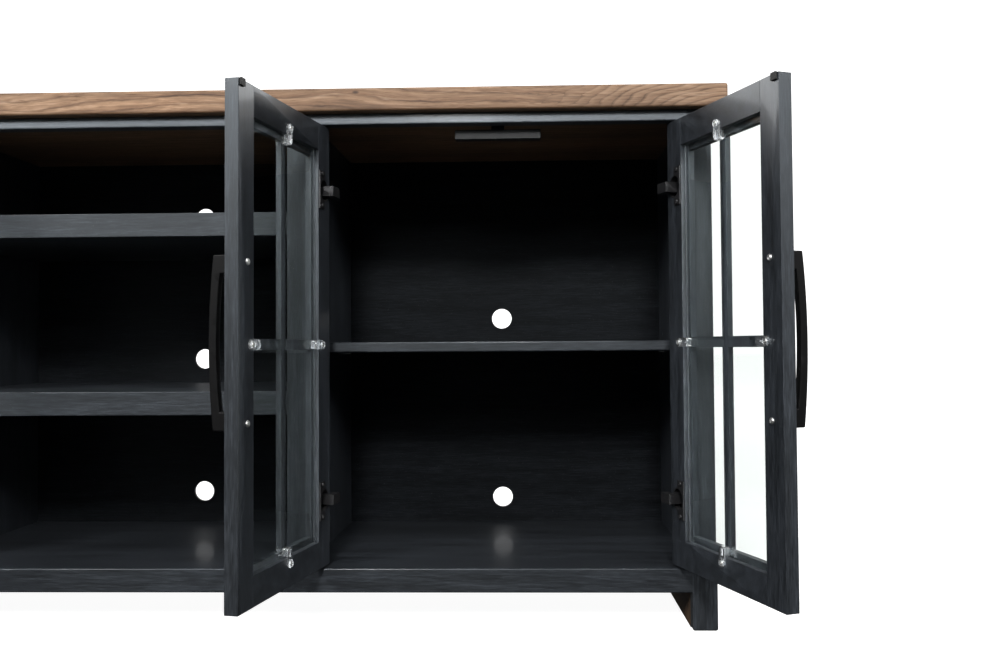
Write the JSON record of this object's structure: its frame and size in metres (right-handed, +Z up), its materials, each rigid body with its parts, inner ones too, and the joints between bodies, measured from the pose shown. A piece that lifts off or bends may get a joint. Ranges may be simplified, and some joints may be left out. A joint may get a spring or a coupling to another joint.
{
  "type": "media cabinet",
  "caption": "Low media cabinet: wood top on a dark face-framed case with an open centre bay of fixed shelves between bays closed by pairs of inset glass doors.",
  "frame": {"origin": "on the floor, at the middle of the bounding box in plan with the doors standing open; X = 0 is the cabinet's plane of symmetry", "axes": "+X to the right seen from the front, +Y towards the back, +Z up"},
  "size_m": [2.0056, 0.6436, 0.813],
  "materials": {
    "top_wood": "satin walnut-brown grain",
    "bare_wood": "unfinished",
    "case_paint": "satin charcoal black over wood",
    "clear_glass": "clear, polished",
    "clear_plastic": "clear, moulded",
    "screw_steel": "zinc plated",
    "pin_steel": "nickel plated",
    "handle_black": "satin black powder coat",
    "hinge_black": "black plated steel",
    "strike_black": "matt"
  },
  "bodies": {
    "case": {"back_panel": "case_paint", "base_cleats": "bare_wood", "bottom_panel": "case_paint", "bottom_rail": "case_paint", "divider_stiles": "case_paint", "hinge_plates": "hinge_black", "left_divider": "case_paint", "left_door_stop": "case_paint", "left_loose_shelf": "case_paint", "left_side": "case_paint", "lower_fixed_shelf": "case_paint", "outer_stiles": "case_paint", "right_divider": "case_paint", "right_door_stop": "case_paint", "right_loose_shelf": "case_paint", "right_side": "case_paint", "shelf_pins": "pin_steel", "top_rail": "case_paint", "upper_fixed_shelf": "case_paint", "wood_top": "top_wood"},
    "left_bay_left_door": {"left_bay_left_door_glass": "clear_glass", "left_bay_left_door_glass_clips": "clear_plastic", "left_bay_left_door_handle": "handle_black", "left_bay_left_door_handle_screws": "screw_steel", "left_bay_left_door_hinge_arms": "hinge_black", "left_bay_left_door_muntins": "case_paint", "left_bay_left_door_rails": "case_paint", "left_bay_left_door_small_screws": "screw_steel", "left_bay_left_door_stiles": "case_paint", "left_bay_left_door_strike": "strike_black"},
    "left_bay_right_door": {"left_bay_right_door_glass": "clear_glass", "left_bay_right_door_glass_clips": "clear_plastic", "left_bay_right_door_handle": "handle_black", "left_bay_right_door_handle_screws": "screw_steel", "left_bay_right_door_hinge_arms": "hinge_black", "left_bay_right_door_muntins": "case_paint", "left_bay_right_door_rails": "case_paint", "left_bay_right_door_small_screws": "screw_steel", "left_bay_right_door_stiles": "case_paint", "left_bay_right_door_strike": "strike_black"},
    "right_bay_left_door": {"right_bay_left_door_glass": "clear_glass", "right_bay_left_door_glass_clips": "clear_plastic", "right_bay_left_door_handle": "handle_black", "right_bay_left_door_handle_screws": "screw_steel", "right_bay_left_door_hinge_arms": "hinge_black", "right_bay_left_door_muntins": "case_paint", "right_bay_left_door_rails": "case_paint", "right_bay_left_door_small_screws": "screw_steel", "right_bay_left_door_stiles": "case_paint", "right_bay_left_door_strike": "strike_black"},
    "right_bay_right_door": {"right_bay_right_door_glass": "clear_glass", "right_bay_right_door_glass_clips": "clear_plastic", "right_bay_right_door_handle": "handle_black", "right_bay_right_door_handle_screws": "screw_steel", "right_bay_right_door_hinge_arms": "hinge_black", "right_bay_right_door_muntins": "case_paint", "right_bay_right_door_rails": "case_paint", "right_bay_right_door_small_screws": "screw_steel", "right_bay_right_door_stiles": "case_paint", "right_bay_right_door_strike": "strike_black"}
  },
  "joints": [
    {"name": "left_bay_left_door_hinge", "type": "hinge", "parent": "case", "child": "left_bay_left_door", "pos_m": [-0.8787, -0.054, 0.4275], "axis": [0, 0, 1], "range_deg": [0, 110]},
    {"name": "left_bay_right_door_hinge", "type": "hinge", "parent": "case", "child": "left_bay_right_door", "pos_m": [-0.3353, -0.054, 0.4275], "axis": [0, 0, 1], "range_deg": [-101, 9]},
    {"name": "right_bay_left_door_hinge", "type": "hinge", "parent": "case", "child": "right_bay_left_door", "pos_m": [0.3353, -0.054, 0.4275], "axis": [0, 0, 1], "range_deg": [-9, 101]},
    {"name": "right_bay_right_door_hinge", "type": "hinge", "parent": "case", "child": "right_bay_right_door", "pos_m": [0.8787, -0.054, 0.4275], "axis": [0, 0, 1], "range_deg": [-110, 0]}
  ]
}
